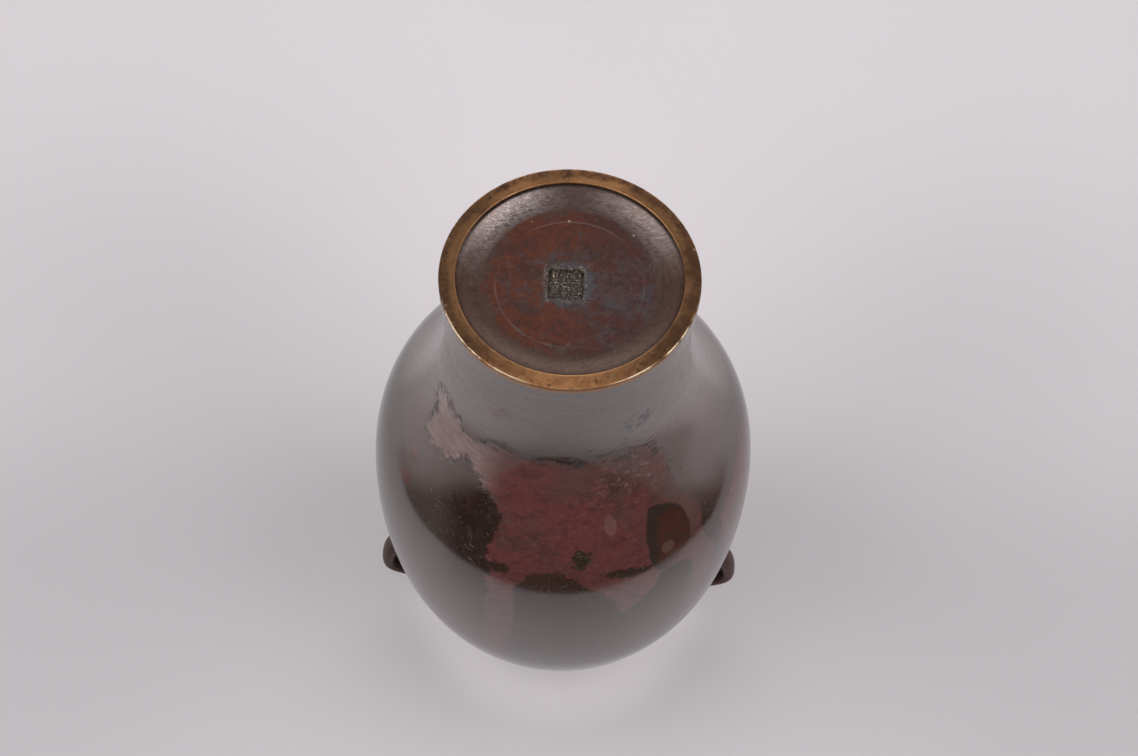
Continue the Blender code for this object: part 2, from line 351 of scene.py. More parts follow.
def lip_curve():
    """The mouth, from the outside of the neck round the flat lip to the inside of the neck."""
    mouth = NECK_RADIUS + LIP_FLARE
    mouth_inner = mouth - LIP_THICKNESS
    neck = Vector((NECK_RADIUS, NECK_HEIGHT))
    rim = Vector((mouth, LIP_BAND))
    inner_rim = Vector((mouth_inner, LIP_BAND))
    inner_neck = Vector((NECK_RADIUS - WALL, NECK_HEIGHT))
    drop = NECK_HEIGHT - LIP_BAND
    lean = Vector((-LIP_FLARE * LIP_LEAN, LIP_STIFFNESS[1] * drop))
    points = bezier(neck, neck - Vector((0, LIP_STIFFNESS[0] * drop)), rim + lean, rim, LIP_STEPS[0])
    points += arc((mouth - LIP_ROUND, LIP_ROUND), LIP_ROUND, 0, -math.pi / 2, CORNER_STEPS)
    points += arc((mouth_inner + LIP_ROUND, LIP_ROUND), LIP_ROUND, -math.pi / 2, -math.pi, CORNER_STEPS)
    handle = inner_neck - Vector((0, LIP_STIFFNESS[0] * drop))
    return points + bezier(inner_rim, inner_rim + lean, handle, inner_neck, LIP_STEPS[1])


def hollow_curve(outside, sizes):
    """The inside of the body and the floor of the hollow, from the neck up."""
    moved = []
    for i, point in enumerate(outside):
        along = outside[min(i + 1, len(outside) - 1)] - outside[max(i - 1, 0)]
        along.normalize()
        moved.append(point + Vector((along.y, -along.x)) * WALL)
    floor = HEIGHT - RECESS_DEPTH - BASE_THICKNESS
    radius = sizes.foot_radius - FOOT_FLARE - WALL
    points = moved[::-1][1::3]
    corner = (radius - INSIDE_CORNER, floor - INSIDE_CORNER)
    points += arc(corner, INSIDE_CORNER, 0, math.pi / 2, CORNER_STEPS)
    return points + line(points[-1], (0, floor), 4)


def wanted_socket(tree, name):
    """The identifier of a named input of a node tree."""
    return next(s.identifier for s in tree.interface.items_tree if s.name == name and s.in_out == "INPUT")


def turning_tree(materials):
    """A Geometry Nodes tree that turns a profile line into a closed casting with four finishes."""
    tree = bpy.data.node_groups.new("turned_casting", "GeometryNodeTree")
    sockets = {"Profile": "Geometry", "Segments": "Int", "Waviness": "Float"}
    sockets.update((name, "Float") for name in STARTS)
    for name, kind in sockets.items():
        tree.interface.new_socket(name, in_out="INPUT", socket_type="NodeSocket" + kind)
    tree.interface.new_socket("Casting", in_out="OUTPUT", socket_type="NodeSocketGeometry")

    def add(kind, inputs=(), **settings):
        """The outputs of a new node, with values set in or links made to its inputs."""
        node = tree.nodes.new(kind)
        for key, value in settings.items():
            setattr(node, key, value)
        for key, value in dict(inputs).items():
            if isinstance(value, bpy.types.NodeSocket):
                tree.links.new(value, node.inputs[key])
            else:
                node.inputs[key].default_value = value
        return node.outputs

    def after(shape, kind, inputs=(), **settings):
        """The shape after one more node."""
        return add("GeometryNode" + kind, {"Geometry": shape, **dict(inputs)}, **settings)[0]

    def math_node(operation, *values):
        return add("ShaderNodeMath", enumerate(values), operation=operation)[0]

    def travelled():
        """How far along the profile a point lies."""
        return add("GeometryNodeInputNamedAttribute", {"Name": "along"}, data_type="FLOAT")["Attribute"]

    def from_profile(kind, value):
        """What the profile has at the grid's row."""
        wanted = {"Value": value, "Index": row}
        return after(given["Profile"], "SampleIndex", wanted, data_type=kind, domain="POINT")

    given = add("NodeGroupInput")
    count = after(given["Profile"], "AttributeDomainSize", component="MESH")
    columns = math_node("ADD", given["Segments"], 1)
    grid = add("GeometryNodeMeshGrid", {"Vertices X": count, "Vertices Y": columns})
    index = add("GeometryNodeInputIndex")[0]
    row = math_node("FLOOR", math_node("DIVIDE", math_node("ADD", index, 0.5), columns))
    column = math_node("SUBTRACT", index, math_node("MULTIPLY", row, columns))
    turn = math_node("DIVIDE", math_node("MULTIPLY", column, 2 * math.pi), given["Segments"])

    place = from_profile("FLOAT_VECTOR", add("GeometryNodeInputPosition")[0])
    turned = add("ShaderNodeVectorRotate", {"Vector": place, "Angle": turn}, rotation_type="Z_AXIS")
    shape = after(grid["Mesh"], "SetPosition", {"Position": turned["Vector"]})
    stored = {"Name": "along", "Value": from_profile("FLOAT", travelled())}
    shape = after(shape, "StoreNamedAttribute", stored, data_type="FLOAT", domain="POINT")
    shape = after(shape, "MergeByDistance", {"Distance": 1e-6})

    noise = add("ShaderNodeTexNoise", {"Scale": 38.0, "Detail": 2.0}, noise_dimensions="3D")
    sink = math_node("MULTIPLY", math_node("SUBTRACT", noise["Fac"], 1.0), given["Waviness"])
    normal = add("GeometryNodeInputNormal")[0]
    offset = add("ShaderNodeVectorMath", {0: normal, "Scale": sink}, operation="SCALE")["Vector"]
    shape = after(shape, "SetPosition", {"Offset": offset})
    shape = after(after(shape, "SetShadeSmooth"), "RealizeInstances")
    reached = travelled()
    shape = after(shape, "SetMaterial", {"Material": materials[0]})
    for start, material in zip(STARTS, materials[1:]):
        past = math_node("GREATER_THAN", reached, given[start])
        shape = after(shape, "SetMaterial", {"Material": material, "Selection": past})
    add("NodeGroupOutput", {"Casting": shape})
    return tree


def plain_mesh(obj, name):
    """The evaluated shape of an object as a mesh of its own."""
    graph = bpy.context.evaluated_depsgraph_get()
    mesh = bpy.data.meshes.new_from_object(obj.evaluated_get(graph))
    mesh.name = name
    return mesh


def drop_empty_slots(mesh):
    """Removes the slots that hold no material, and keeps each face's finish."""
    slots = list(mesh.materials)
    places = np.cumsum([1 if m else 0 for m in slots]) - 1
    used = np.zeros(len(mesh.polygons), np.int32)
    mesh.polygons.foreach_get("material_index", used)
    mesh.materials.clear()
    for material in slots:
        if material:
            mesh.materials.append(material)
    mesh.polygons.foreach_set("material_index", places[used].astype(np.int32))


def new_object(name, mesh):
    obj = bpy.data.objects.new(name, mesh)
    bpy.context.scene.collection.objects.link(obj)
    return obj


def closed(shape):
    """Turns a bmesh's faces outwards."""
    bmesh.ops.recalc_face_normals(shape, faces=shape.faces)
    if shape.calc_volume(signed=True) < 0:
        bmesh.ops.reverse_faces(shape, faces=shape.faces)


def turned_mesh(profile, starts, sizes, materials):
    """The turned casting, made by the Geometry Nodes tree from the profile line."""
    source = bpy.data.meshes.new("profile")
    count = len(profile)
    source.from_pydata([(p.x, 0, p.y) for p in profile], [(i, i + 1) for i in range(count - 1)], [])
    steps = [0.0] + [(b - a).length for a, b in zip(profile, profile[1:])]
    travelled = np.cumsum(steps)
    source.attributes.new("along", "FLOAT", "POINT").data.foreach_set("value", travelled.astype(np.float32))
    line_object = new_object("profile", source)
    tree = turning_tree(materials)
    modifier = line_object.modifiers.new("turning", "NODES")
    modifier.node_group = tree
    modifier[wanted_socket(tree, "Segments")] = sizes.segments
    modifier[wanted_socket(tree, "Waviness")] = sizes.waviness
    for name, start in zip(STARTS, starts):
        modifier[wanted_socket(tree, name)] = float(travelled[start])
    mesh = plain_mesh(line_object, "vase")
    bpy.data.objects.remove(line_object)
    shape = bmesh.new()
    shape.from_mesh(mesh)
    closed(shape)
    shape.to_mesh(mesh)
    shape.free()
    return mesh


def wall_point(outside, height):
    """The point of the outside wall at a height, and the direction out of it."""
    for upper, lower in zip(outside, outside[1:]):
        if lower.y <= height <= upper.y:
            share = (height - lower.y) / (upper.y - lower.y)
            along = (lower - upper).normalized()
            return lower.lerp(upper, share), Vector((-along.y, along.x))
    raise ValueError(f"the body has no wall at a height of {height}")


def ear_path(outside, sizes):
    """The middle line of an ear, as (radius, height), from the neck out and back to the shoulder."""
    low, low_out = wall_point(outside, EAR_LOW_ROOT_HEIGHT)
    top, top_out = wall_point(outside, EAR_TOP_ROOT_HEIGHT)
    low = low - low_out * WALL / 2
    top = top - top_out * WALL / 2
    bend = Vector((EAR_REACH - sizes.ear_thickness / 2, EAR_BEND_HEIGHT))
    run = bend.x - low.x
    upper_rise = top.y - bend.y
    points = [low]
    points += bezier(
        low,
        low + Vector((EAR_LOW_STIFFNESS[0] * run, 0)),
        bend - Vector((0, EAR_LOW_STIFFNESS[1] * (bend.y - low.y))),
        bend,
        EAR_STEPS,
    )
    points += bezier(
        bend,
        bend + Vector((0, EAR_TOP_STIFFNESS * upper_rise)),
        top + top_out * EAR_TOP_STIFFNESS * upper_rise,
        top,
        EAR_STEPS,
    )
    return points


def ear_section(sizes, grow=0.0):
    """The strap's section as (across, lift) pairs, grown outwards by a distance."""
    pairs = []
    for k in range(EAR_SIDES):
        angle = 2 * math.pi * (k + 0.5) / EAR_SIDES
        c, s = math.cos(angle), math.sin(angle)
        across = math.copysign(abs(c) ** EAR_SQUARENESS[0], c) * (sizes.ear_width / 2 + grow)
        lift = math.copysign(abs(s) ** EAR_SQUARENESS[1], s) * (sizes.ear_thickness / 2 + grow)
        pairs.append((across, lift))
    return pairs


def onto_wall(point, direction, reach, heights, radii):
    """Where a line from a point meets the body's outside, found between -reach and +reach along it."""
    far, near = reach, -reach
    for _ in range(30):
        middle = (far + near) / 2
        p = point + direction * middle
        outside = math.hypot(p.x, p.y) > np.interp(p.z, heights, radii)
        far, near = (middle, near) if outside else (far, middle)
    return point + direction * far


def ear_mesh(name, side, outside, outer_line, sizes, material):
    """One ear: a strap that meets the wall in soft fillets at both of its roots."""
    heights = [p.y for p in outer_line][::-1]
    radii = [p.x for p in outer_line][::-1]
    path = ear_path(outside, sizes)
    count = len(path)
    rings = []

    def ring_at(i, grow=0.0):
        along = (path[min(i + 1, count - 1)] - path[max(i - 1, 0)]).normalized()
        middle = path[i]
        ring = []
        for across, lift in ear_section(sizes, grow):
            ring.append(Vector((middle.x + along.y * lift, across, middle.y - along.x * lift)))
        return ring, Vector((along.x, 0, along.y))

    clear = []
    for i in range(count):
        ring, _ = ring_at(i)
        gap = min(math.hypot(p.x, p.y) - np.interp(p.z, heights, radii) for p in ring)
        clear.append(gap > FILLET_CLEAR)
    first = clear.index(True)
    last = count - 1 - clear[::-1].index(True)
    for i, end, sign in ((first, 0, 1), (last, count - 1, -1)):
        strap, _ = ring_at(i)
        root, along = ring_at(end)
        grown, _ = ring_at(end, EAR_FILLET)
        outward = along * sign
        feet = [onto_wall(p, outward, FILLET_SEARCH, heights, radii) for p in grown]
        corners = [onto_wall(p, outward, FILLET_SEARCH, heights, radii) for p in root]
        fillet = []
        for step in range(EAR_FILLET_STEPS):
            t = step / EAR_FILLET_STEPS
            fillet.append([
                foot * (1 - t) ** 2 + corner * 2 * t * (1 - t) + top * t * t
                for foot, corner, top in zip(feet, corners, strap)
            ])
        buried = [foot - outward * WALL * 0.5 for foot in feet]
        rows = [buried] + fillet
        if sign > 0:
            rings = rows + [ring_at(k)[0] for k in range(first, last + 1)]
        else:
            rings += rows[::-1]
    shape = bmesh.new()
    made = [[shape.verts.new((side * p.x, p.y, p.z)) for p in ring] for ring in rings]
    for ring, following in zip(made, made[1:]):
        for k in range(EAR_SIDES):
            after = (k + 1) % EAR_SIDES
            shape.faces.new((ring[k], ring[after], following[after], following[k]))
    shape.faces.new(made[0])
    shape.faces.new(made[-1][::-1])
    closed(shape)
    mesh = bpy.data.meshes.new(name)
    shape.to_mesh(mesh)
    shape.free()
    mesh.shade_smooth()
    mesh.materials.append(material)
    return mesh


def seal_relief(x, y, side, random):
    """Heights of the seal's ground, from 0 to 1: soft upright and lying strokes in rows, with cast grain."""
    height = np.zeros_like(x)
    pitch, step = side / STROKE_ROWS, side / STROKES_IN_ROW
    for row in range(STROKE_ROWS):
        for column in range(STROKES_IN_ROW):
            for part in (-1, 1):
                lying = (row + column) % 2 == 0
                aside = part * (0.21 * pitch if lying else 0.20 * step)
                cx = (column + 0.5) * step - side / 2 + random.uniform(-0.06, 0.06) * step
                cy = (row + 0.5) * pitch - side / 2 + random.uniform(-0.04, 0.04) * pitch
                cx, cy = (cx, cy + aside) if lying else (cx + aside, cy)
                half = np.array((0.34 * step, 0.05 * pitch) if lying else (0.04 * step, 0.36 * pitch))
                half = half * random.uniform(0.75, 1.1)
                turn = random.uniform(-0.14, 0.14)
                dx, dy = x - cx, y - cy
                u = dx * math.cos(turn) + dy * math.sin(turn)
                v = dy * math.cos(turn) - dx * math.sin(turn)
                gap = np.hypot(np.maximum(np.abs(u) - half[0], 0), np.maximum(np.abs(v) - half[1], 0))
                height = np.maximum(height, np.clip(1 - gap / STROKE_EDGE, 0, 1) * random.uniform(0.6, 1.0))
    return height * height * (3 - 2 * height)


def soft_grain(shape, cell, random):
    """Smooth random heights on a square grid, with one new value for each cell of that many points."""
    coarse = random.random((shape // cell + 3, shape // cell + 3))
    place = np.arange(shape) / cell
    low = place.astype(int)
    share = place - low
    share = share * share * (3 - 2 * share)
    rows = coarse[low] * (1 - share)[:, None] + coarse[low + 1] * share[:, None]
    return rows[:, low] * (1 - share)[None] + rows[:, low + 1] * share[None]


def seal_cutter(sizes, material):
    """A block that cuts the seal's pocket, with the seal's relief on its underside."""
    random = np.random.default_rng(5)
    n = SEAL_CELLS + 1
    side = sizes.seal_side
    line_points = np.linspace(-side / 2, side / 2, n)
    x, y = np.meshgrid(line_points, line_points, indexing="ij")
    inner = side / 2 - SEAL_CORNER
    cx, cy = np.clip(x, -inner, inner), np.clip(y, -inner, inner)
    away = np.maximum(np.hypot(x - cx, y - cy), 1e-9)
    square = np.maximum(np.abs(x - cx), np.abs(y - cy))
    pull = np.where((np.abs(x) > inner) & (np.abs(y) > inner), square / away, 1.0)
    px, py = cx + (x - cx) * pull, cy + (y - cy) * pull
    strokes = seal_relief(x, y, side * 0.9, random)
    grain = 0.55 * soft_grain(n, 5, random) + 0.45 * soft_grain(n, 2, random)
    rim = np.clip((side / 2 - np.maximum(np.abs(x), np.abs(y))) / SEAL_RIM, 0, 1)
    floor = HEIGHT - RECESS_DEPTH - sizes.seal_depth
    z = floor + rim * (SEAL_RELIEF * strokes * (0.5 + 0.6 * grain) + SEAL_RELIEF * (grain - 0.30))
    shape = bmesh.new()
    grow = 1.03
    wide = px * grow + sizes.seal_offset
    px = px + sizes.seal_offset
    lower = [[shape.verts.new((px[i, j], py[i, j], z[i, j])) for j in range(n)] for i in range(n)]
    border = [(i, 0) for i in range(n)] + [(n - 1, j) for j in range(1, n)]
    border += [(i, n - 1) for i in range(n - 2, -1, -1)] + [(0, j) for j in range(n - 2, 0, -1)]
    top = HEIGHT - RECESS_DEPTH + 0.0006
    upper = [shape.verts.new((wide[i, j], py[i, j] * grow, top)) for i, j in border]
    for i in range(n - 1):
        for j in range(n - 1):
            shape.faces.new((lower[i][j], lower[i + 1][j], lower[i + 1][j + 1], lower[i][j + 1]))
    around = [lower[i][j] for i, j in border]
    for k in range(len(border)):
        after = (k + 1) % len(border)
        shape.faces.new((around[k], around[after], upper[after], upper[k]))
    shape.faces.new(upper)
    closed(shape)
    mesh = bpy.data.meshes.new("seal_cutter")
    shape.to_mesh(mesh)
    shape.free()
    mesh.materials.append(material)
    return mesh


def inside_distance(around, up, corners):
    """How far points lie inside an outline, in metres on the developed wall; less than 0 outside it."""
    scale = math.pi / 180 * PATCH_RADIUS
    points = np.stack((around * scale, up), axis=1)
    outline = np.array([(a * scale, h * 0.001) for a, h in corners])
    nearest = np.full(len(points), 1e9)
    inside = np.zeros(len(points), bool)
    for a, b in zip(outline, np.roll(outline, -1, axis=0)):
        edge = b - a
        share = np.clip((points - a) @ edge / (edge @ edge), 0, 1)
        nearest = np.minimum(nearest, np.linalg.norm(points - a - share[:, None] * edge, axis=1))
        crosses = (a[1] > points[:, 1]) != (b[1] > points[:, 1])
        rise = np.where(edge[1] == 0, 1e-12, edge[1])
        inside ^= crosses & (points[:, 0] < a[0] + (points[:, 1] - a[1]) / rise * edge[0])
    return np.where(inside, nearest, -nearest)


def mark_patches(mesh, outer_line):
    """Stores, at each vertex, how far it lies inside the patina's patches and out on the ears."""
    place = np.zeros(len(mesh.vertices) * 3)
    mesh.vertices.foreach_get("co", place)
    place = place.reshape(-1, 3)
    around = np.degrees(np.arctan2(place[:, 0], -place[:, 1]))
    turned_round = np.where(around < 0, around + 360, around)
    up = place[:, 2]

    def inside(*outlines):
        return np.max([inside_distance(around, up, corners) for corners in outlines], axis=0)

    red = inside(CRANBERRY_FIELD, *CRANBERRY_SPOTS, CRANBERRY_EDGE)
    red = np.maximum(red, inside_distance(turned_round, up, CRANBERRY_BACK))
    red = np.minimum(red, -inside(*FIELD_HOLES))
    pale = np.full(len(place), -1.0)
    for (angle, height), (half_width, half_height) in PALE_OVALS:
        across = (around - angle) * math.pi / 180 * PATCH_RADIUS * 1000 / half_width
        rise = (up * 1000 - height) / half_height
        pale = np.maximum(pale, (1 - np.hypot(across, rise)) * 0.002)
    film = up - np.interp(around, *np.transpose(FILM_EDGE)) * 0.001
    wall = np.interp(up, [p.y for p in outer_line][::-1], [p.x for p in outer_line][::-1])
    ear = np.where(up < EARS_END, np.hypot(place[:, 0], place[:, 1]) - wall, -1.0)
    patches = {
        "cranberry": red, "island": inside(ISLAND), "olive": inside(OLIVE_SPECK), "pale": pale, "film": film,
        "smudge": inside(*SMUDGES), "ear": ear,
    }
    for name, values in patches.items():
        attribute = mesh.attributes.new(name, "FLOAT", "POINT")
        attribute.data.foreach_set("value", np.clip(values, -PATCH_DEPTH, PATCH_DEPTH).astype(np.float32))


class Value:
    """A number in a material, on which plain arithmetic works."""

    def __init__(self, finish, socket):
        self.finish = finish
        self.socket = socket

    def __add__(self, other):
        return self.finish.math("ADD", self, other)

    def __radd__(self, other):
        return self.finish.math("ADD", other, self)

    def __sub__(self, other):
        return self.finish.math("SUBTRACT", self, other)

    def __rsub__(self, other):
        return self.finish.math("SUBTRACT", other, self)

    def __mul__(self, other):
        return self.finish.math("MULTIPLY", self, other)

    def __truediv__(self, other):
        return self.finish.math("DIVIDE", self, other)

    def __neg__(self):
        return self.finish.math("MULTIPLY", self, -1.0)

    def __abs__(self):
        return self.finish.math("ABSOLUTE", self)


class Finish:
    """A material under construction."""

    def __init__(self, name):
        self.material = bpy.data.materials.new(name)
        self.material.use_nodes = True
        self.nodes = self.material.node_tree.nodes
        self.links = self.material.node_tree.links
        self.shader = self.nodes["Principled BSDF"]
        self.place = self.node("TexCoord")["Object"]
        self.base = None

    def put(self, value, socket):
        """Links a value or a socket, or sets a plain number or colour."""
        value = value.socket if isinstance(value, Value) else value
        if isinstance(value, bpy.types.NodeSocket):
            self.links.new(value, socket)
        elif hasattr(value, "__len__") and len(socket.default_value) == 4:
            socket.default_value = (*value[:3], 1.0)
        else:
            socket.default_value = value

    def node(self, kind, inputs=(), **settings):
        """The outputs of a new node."""
        node = self.nodes.new("ShaderNode" + kind)
        for key, value in settings.items():
            setattr(node, key, value)
        for key, value in dict(inputs).items():
            self.put(value, node.inputs[key])
        return node.outputs

    def math(self, operation, a, b=0.0):
        return Value(self, self.node("Math", {0: a, 1: b}, operation=operation)[0])

    def larger(self, a, b):
        return self.math("MAXIMUM", a, b)

    def ramp(self, value, low, high):
        """0 up to low and 1 from high on, with a smooth change between them."""
        inputs = {"Value": value, "From Min": low, "From Max": high}
        return Value(self, self.node("MapRange", inputs, interpolation_type="SMOOTHSTEP")["Result"])

    def mix(self, share, a, b):
        """A colour between two colours."""
        return self.node("Mix", {0: share, 6: a, 7: b}, data_type="RGBA")[2]

    def paint(self, share, colour):
        """Lays a colour over what the surface has so far."""
        self.base = self.mix(share, self.base, colour)

    def blend(self, share, a, b):
        """A number between two numbers."""
        return Value(self, self.node("Mix", {0: share, 2: a, 3: b})[0])

    def stretched(self, scale):
        """Places for a texture whose marks are squeezed by a scale along each axis."""
        return self.node("Mapping", {"Vector": self.place, "Scale": scale})["Vector"]

    def noise(self, scale, detail=3.0, roughness=0.55, distortion=0.0, vector=None):
        inputs = {"Scale": scale, "Detail": detail, "Roughness": roughness, "Distortion": distortion}
        return Value(self, self.node("TexNoise", {"Vector": vector or self.place, **inputs})["Fac"])

    def cells(self, scale, vector=None):
        return self.node("TexVoronoi", {"Vector": vector or self.place, "Scale": scale})

    def attribute(self, name):
        return Value(self, self.node("Attribute", attribute_name=name)["Fac"])

    def axes(self):
        return [Value(self, axis) for axis in self.node("SeparateXYZ", {0: self.place})]

    def radius(self):
        x, y, _ = self.axes()
        return self.math("SQRT", x * x + y * y)

    def hairs(self, scale, width, distortion):
        """Thin curving lines, 1 on the line."""
        field = self.noise(scale, 2.0, 0.4, distortion)
        return 1.0 - self.ramp(abs(field - 0.5), 0.0, width)

    def bump(self, height, distance, strength):
        inputs = {"Strength": strength, "Distance": distance, "Height": height}
        self.put(self.node("Bump", inputs)["Normal"], self.shader.inputs["Normal"])

    def done(self, roughness, metallic, ior=1.5):
        values = {"Base Color": self.base, "Roughness": roughness, "Metallic": metallic, "IOR": ior}
        for key, value in values.items():
            self.put(value, self.shader.inputs[key])
        return self.material


def patina(colours):
    """The glossy dark body with its cranberry field, island, dull film, strokes, specks and lint, with
    painted reflections on the lower belly, the left shoulder and beside the stem, and painted shade at its
    two sides.
    """
    f = Finish("glossy_patina")
    x, y, z = f.axes()
    fine = f.noise(420.0, 6.0, 0.62)
    soft = f.noise(95.0, 4.0, 0.55)
    broad = f.noise(34.0, 3.0, 0.5)
    strokes = f.noise(240.0, 7.0, 0.72, 0.5, f.stretched((1.0, 1.0, 3.2)))
    wander = (soft - 0.5) * 0.0044 + (fine - 0.5) * 0.0044
    right = f.ramp(x, 0.0, 0.026)
    upper = f.ramp(z, 0.146, 0.158)
    upper_right = right * upper
    feather = upper_right * 0.013 + 0.0025
    feather = (strokes - 0.5) * feather

    red_place = f.attribute("cranberry") + (wander + feather)
    red = f.ramp(red_place, -0.0005, 0.0008)
    island_place = f.attribute("island") + wander * 0.5
    island = f.ramp(island_place, -0.0003, 0.0005)

    ground = f.mix(f.ramp(broad, 0.42, 0.66), colours.ground, colours.ground_warm)
    haze = f.ramp(fine, 0.42, 0.7) * f.ramp(soft, 0.45, 0.65)
    ground = f.mix(haze * 0.4, ground, (0.058, 0.036, 0.024))
    brownish = f.ramp(f.noise(42.0, 4.0, 0.6, 0.4), 0.46, 0.62)
    cranberry = f.mix(brownish, colours.cranberry, colours.cranberry_brown)
    mottle = f.ramp(f.noise(210.0, 6.0, 0.70, 0.5, f.stretched((1.0, 1.0, 1.8))), 0.44, 0.66)
    cranberry = f.mix(mottle * 0.55, cranberry, colours.cranberry_dark)
    scraped = f.noise(430.0, 7.0, 0.76, 0.6, f.stretched((1.0, 1.0, 1.9)))
    bright = f.ramp(scraped, 0.51, 0.62)
    pinkish = bright * (0.1 + upper_right * 0.46)
    gaps = (1.0 - f.ramp(scraped, 0.38, 0.46)) * upper_right
    cranberry = f.mix(gaps * 0.6, cranberry, colours.cranberry_dark)
    left = f.ramp(-x, 0.014, 0.032)
    thin = (soft - 0.5) * 0.02 + left * 0.013
    thin = f.ramp(z + thin, 0.15, 0.164) * (0.1 + left * 0.72) * (0.6 + f.ramp(strokes, 0.4, 0.6) * 0.4)
    faded = f.mix(left, colours.cranberry_pale, (0.420, 0.290, 0.272))
    cranberry = f.mix(f.larger(pinkish, thin), cranberry, faded)
    # Below the belly's widest line the red field turns paler and greyer and thins in strokes, partly wear and
    # partly a painted reflection of the pale floor; the ground there turns greyer, most at the two sides,
    # which is painted reflection of the floor.
    low = 1.0 - f.ramp(z, 0.112, 0.127)
    low_red_wear_and_reflection = low * (0.35 + f.ramp(strokes, 0.42, 0.6) * 0.4)
    cranberry = f.mix(low_red_wear_and_reflection, cranberry, (0.120, 0.070, 0.064))
    painted_floor_reflection_low = (1.0 - f.ramp(z, 0.08, 0.12)) * (0.35 + f.ramp(abs(x), 0.01, 0.04) * 0.65)
    ground = f.mix(painted_floor_reflection_low * 0.7, ground, (0.092, 0.066, 0.06))
    worn_red = 1.0 - low * (f.ramp(strokes, 0.46, 0.58) * 0.65)
    # Painted reflection: the ground is lighter on the left above the belly, where the dark reflected pool
    # ends in a soft glow.
    painted_glow_left = f.ramp(-x, 0.03, 0.042) * f.ramp(z, 0.1, 0.115)
    ground = f.mix(painted_glow_left * 0.85, ground, (0.066, 0.05, 0.044))
    f.base = f.mix(red * worn_red, ground, cranberry)
    pink_haze = f.ramp(x, 0.03, 0.042) * f.ramp(z, 0.126, 0.14)
    f.paint(pink_haze * 0.35, (0.15, 0.102, 0.094))

    rough_edge = island_place + (soft - 0.5) * 0.006 + (strokes - 0.5) * 0.005 + (x - 0.034) * 0.35
    core = f.ramp(rough_edge, 0.0004, 0.0034)
    rusty = f.mix(f.ramp(strokes, 0.40, 0.62), (0.068, 0.019, 0.011), (0.038, 0.020, 0.013))
    f.paint(island, f.mix(core, (0.032, 0.019, 0.015), rusty))
    pale = f.ramp(f.attribute("pale") + wander * 0.2, -0.0001, 0.0003)
    f.paint(pale * 0.24, (0.22, 0.13, 0.115))
    olive = f.ramp(f.attribute("olive") + wander * 1.7, -0.0004, 0.0009)
    grains = f.ramp(f.noise(1000.0, 5.0, 0.75), 0.52, 0.64)
    f.paint(olive * 0.88, f.mix(grains, (0.02, 0.016, 0.01), (0.095, 0.078, 0.036)))

    rim = abs(red_place - 0.0003)
    rim = 1.0 - f.ramp(rim, 0.0004, 0.0034)
    pits = f.ramp(f.noise(300.0, 6.0, 0.76, 0.8, f.stretched((1.0, 1.0, 2.4))), 0.50, 0.56)
    crackle = rim * f.ramp(z, 0.14, 0.158) * pits
    specks = f.ramp(f.noise(800.0, 3.0, 0.6), 0.68, 0.75)
    speck_share = specks * (0.15 + red * 0.4)
    f.paint(speck_share, (0.025, 0.016, 0.013))

    across = abs(x)
    middle = 1.0 - f.ramp(across, 0.014, 0.028)
    film_place = f.attribute("film") + (wander + feather) * 0.4
    film = f.ramp(film_place, f.blend(middle, -0.004, -0.0008), f.blend(middle, 0.007, 0.0022))
    cloudy = f.ramp(f.noise(30.0, 3.0, 0.6), 0.2, 0.8)
    veil = 0.5 + cloudy * 0.13 + f.ramp(f.attribute("film"), 0.004, 0.028) * 0.27
    # Painted shade at the body's two sides, as seen from the front: there the film covers the red fully.
    side_shade_band = f.ramp(across, 0.054, 0.060)
    covered = f.larger(side_shade_band, left * 0.45)
    uncovered = 1.0 - red * f.blend(covered, 0.62, 0.0)
    veil = film * veil * uncovered
    # Paler, pinker film on the shoulder's two sides: partly the film's own tone, partly a painted highlight
    # for the bright streaks beside the stem.
    film_sides_and_highlight = f.ramp(across, 0.014, 0.034) * (1.0 - f.ramp(across, 0.046, 0.06))
    dull = f.mix(film_sides_and_highlight, colours.film, colours.film_pale_and_highlight)
    dull = f.mix(cloudy * 0.6, dull, f.mix(film_sides_and_highlight, colours.film_warm, colours.film_pale_and_highlight))
    # Painted highlight: a pale grey streak on the film just behind the two sides, high on the stem, where
    # bright reflections run beside it.
    behind = f.ramp(y, -0.003, 0.008) * (1.0 - f.ramp(y, 0.016, 0.034)) * f.ramp(z, 0.136, 0.15)
    dull = f.mix(behind * 0.9, dull, (0.33, 0.305, 0.3))
    # Painted shade: the film darkens towards the two sides.
    dull = f.mix(f.ramp(across, 0.050, 0.060), dull, (0.050, 0.036, 0.032))
    f.paint(veil, dull)
    smudge = f.attribute("smudge") + (strokes - 0.5) * 0.012
    smudge = f.ramp(smudge, 0.0002, 0.0022) * f.ramp(fine, 0.42, 0.6)
    smudge_tint = f.mix(f.ramp(x, -0.005, 0.005), (0.115, 0.060, 0.056), (0.040, 0.038, 0.038))
    f.paint(smudge, smudge_tint)
    f.paint(crackle * 0.85, (0.026, 0.02, 0.018))

